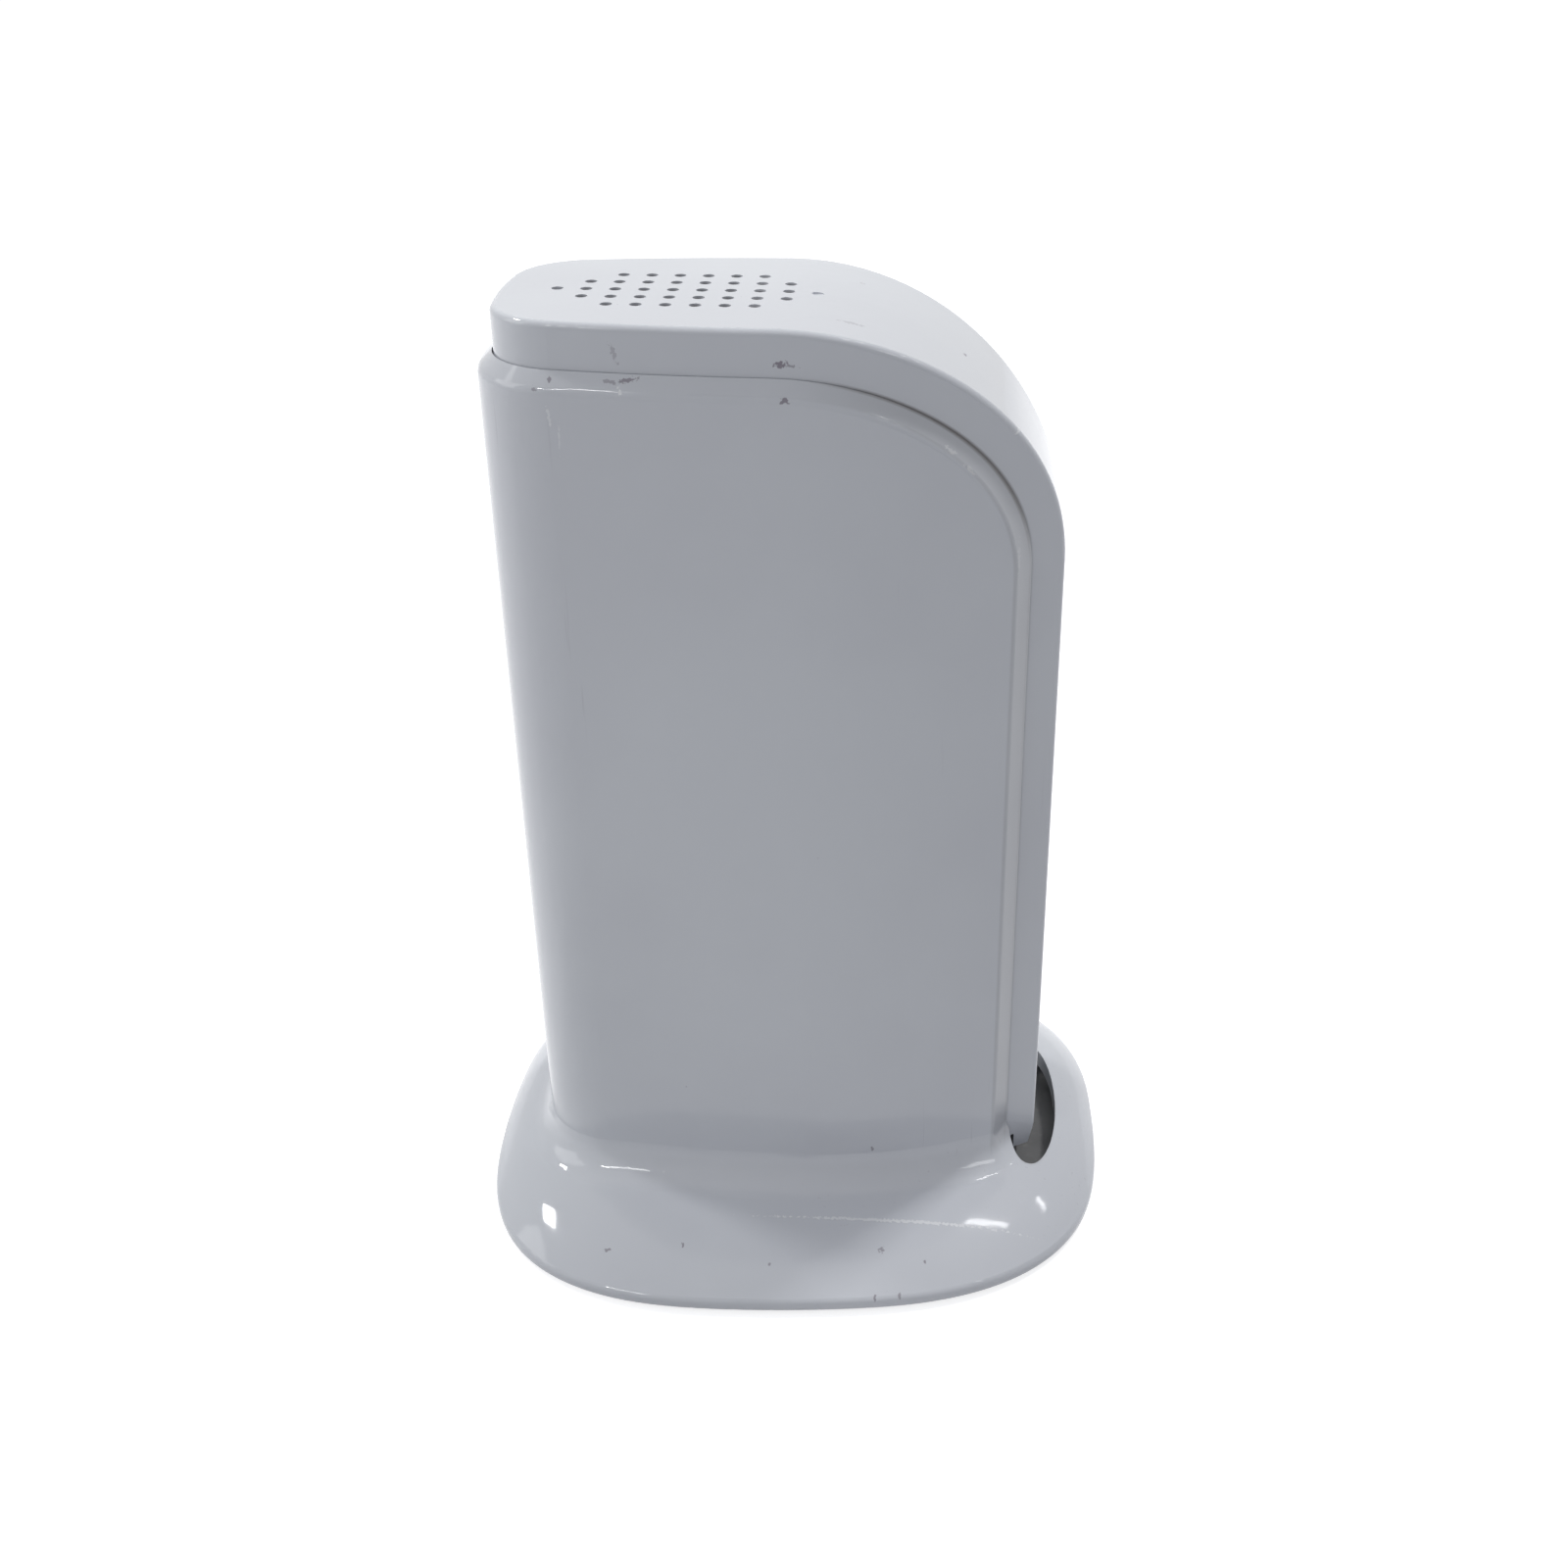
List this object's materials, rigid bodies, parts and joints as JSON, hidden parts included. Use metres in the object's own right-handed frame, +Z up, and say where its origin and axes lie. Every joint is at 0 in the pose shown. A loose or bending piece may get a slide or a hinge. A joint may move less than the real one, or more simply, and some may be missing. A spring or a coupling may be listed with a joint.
{
  "type": "wireless router",
  "caption": "White tower router on a flared oval base: hollow side shell, vented J-shaped top and rear cover, network sockets, sprung buttons and circuit boards inside.",
  "frame": {"origin": "centre of the base's outline on the table under the feet", "axes": "+Z up, -X towards the rounded nose, +X towards the rear face with the sockets"},
  "size_m": [0.1275, 0.1114, 0.1835],
  "materials": {
    "shell_white": "glossy white moulding with fine scuffs",
    "cover_white": "glossy white moulding",
    "plate_grey": "fine matt moulding",
    "foot_rubber": "soft matt pad",
    "screw_steel": "zinc plated",
    "light_clear": "frosted clear moulding",
    "led_white": "moulded lens",
    "board_green": "solder mask",
    "chip_black": "moulded epoxy",
    "pad_grey": "soft pad",
    "sink_aluminium": "extruded",
    "tin_metal": "tin plated",
    "pin_plastic": "moulded",
    "jack_lan": "moulded",
    "jack_wan": "moulded",
    "jack_black": "moulded",
    "contact_gold": "gold plated",
    "capacitor_sleeve": "shrink sleeve",
    "ferrite_grey": "pressed ferrite",
    "button_grey": "moulded cap",
    "lead_black": "coaxial jacket"
  },
  "bodies": {
    "housing": {"main_shell": "shell_white", "rear_cover": "cover_white", "base_plate": "plate_grey", "rubber_feet": "foot_rubber", "base_screws": "screw_steel", "cover_screws": "screw_steel", "light_pipe": "light_clear", "status_leds": "led_white", "main_board": "board_green", "board_screws": "screw_steel", "processor": "chip_black", "thermal_pad": "pad_grey", "heat_sink": "sink_aluminium", "heat_sink_pins": "pin_plastic", "memory_chip": "chip_black", "flash_chip": "chip_black", "clock_crystal": "tin_metal", "radio_shield": "tin_metal", "wan_jack": "jack_wan", "lan_jack_1": "jack_lan", "lan_jack_2": "jack_lan", "lan_jack_3": "jack_lan", "jack_contacts": "contact_gold", "line_transformers": "chip_black", "dc_jack": "jack_black", "dc_pin": "tin_metal", "filter_capacitors": "capacitor_sleeve", "power_inductors": "ferrite_grey", "power_switch": "jack_black", "pairing_switch": "jack_black", "reset_switch": "jack_black", "antenna_board": "board_green", "antenna_screws": "screw_steel", "antenna_sockets": "contact_gold", "antenna_leads": "lead_black"},
    "power_button": {"power_button": "button_grey", "power_plunger": "pin_plastic"},
    "pairing_button": {"pairing_button": "button_grey", "pairing_plunger": "pin_plastic"},
    "reset_plunger": {"reset_plunger": "pin_plastic"}
  },
  "joints": [
    {"name": "power_press", "type": "slide", "parent": "housing", "child": "power_button", "axis": [-1, 0, 0], "range_m": [0, 0.002], "stiffness_N_per_m": 700, "springref_m": -0.001},
    {"name": "pairing_press", "type": "slide", "parent": "housing", "child": "pairing_button", "axis": [-1, 0, 0], "range_m": [0, 0.0005], "stiffness_N_per_m": 1500, "springref_m": -0.0005},
    {"name": "reset_press", "type": "slide", "parent": "housing", "child": "reset_plunger", "axis": [-1, 0, 0], "range_m": [0, 0.0005], "stiffness_N_per_m": 1500, "springref_m": -0.0005}
  ]
}
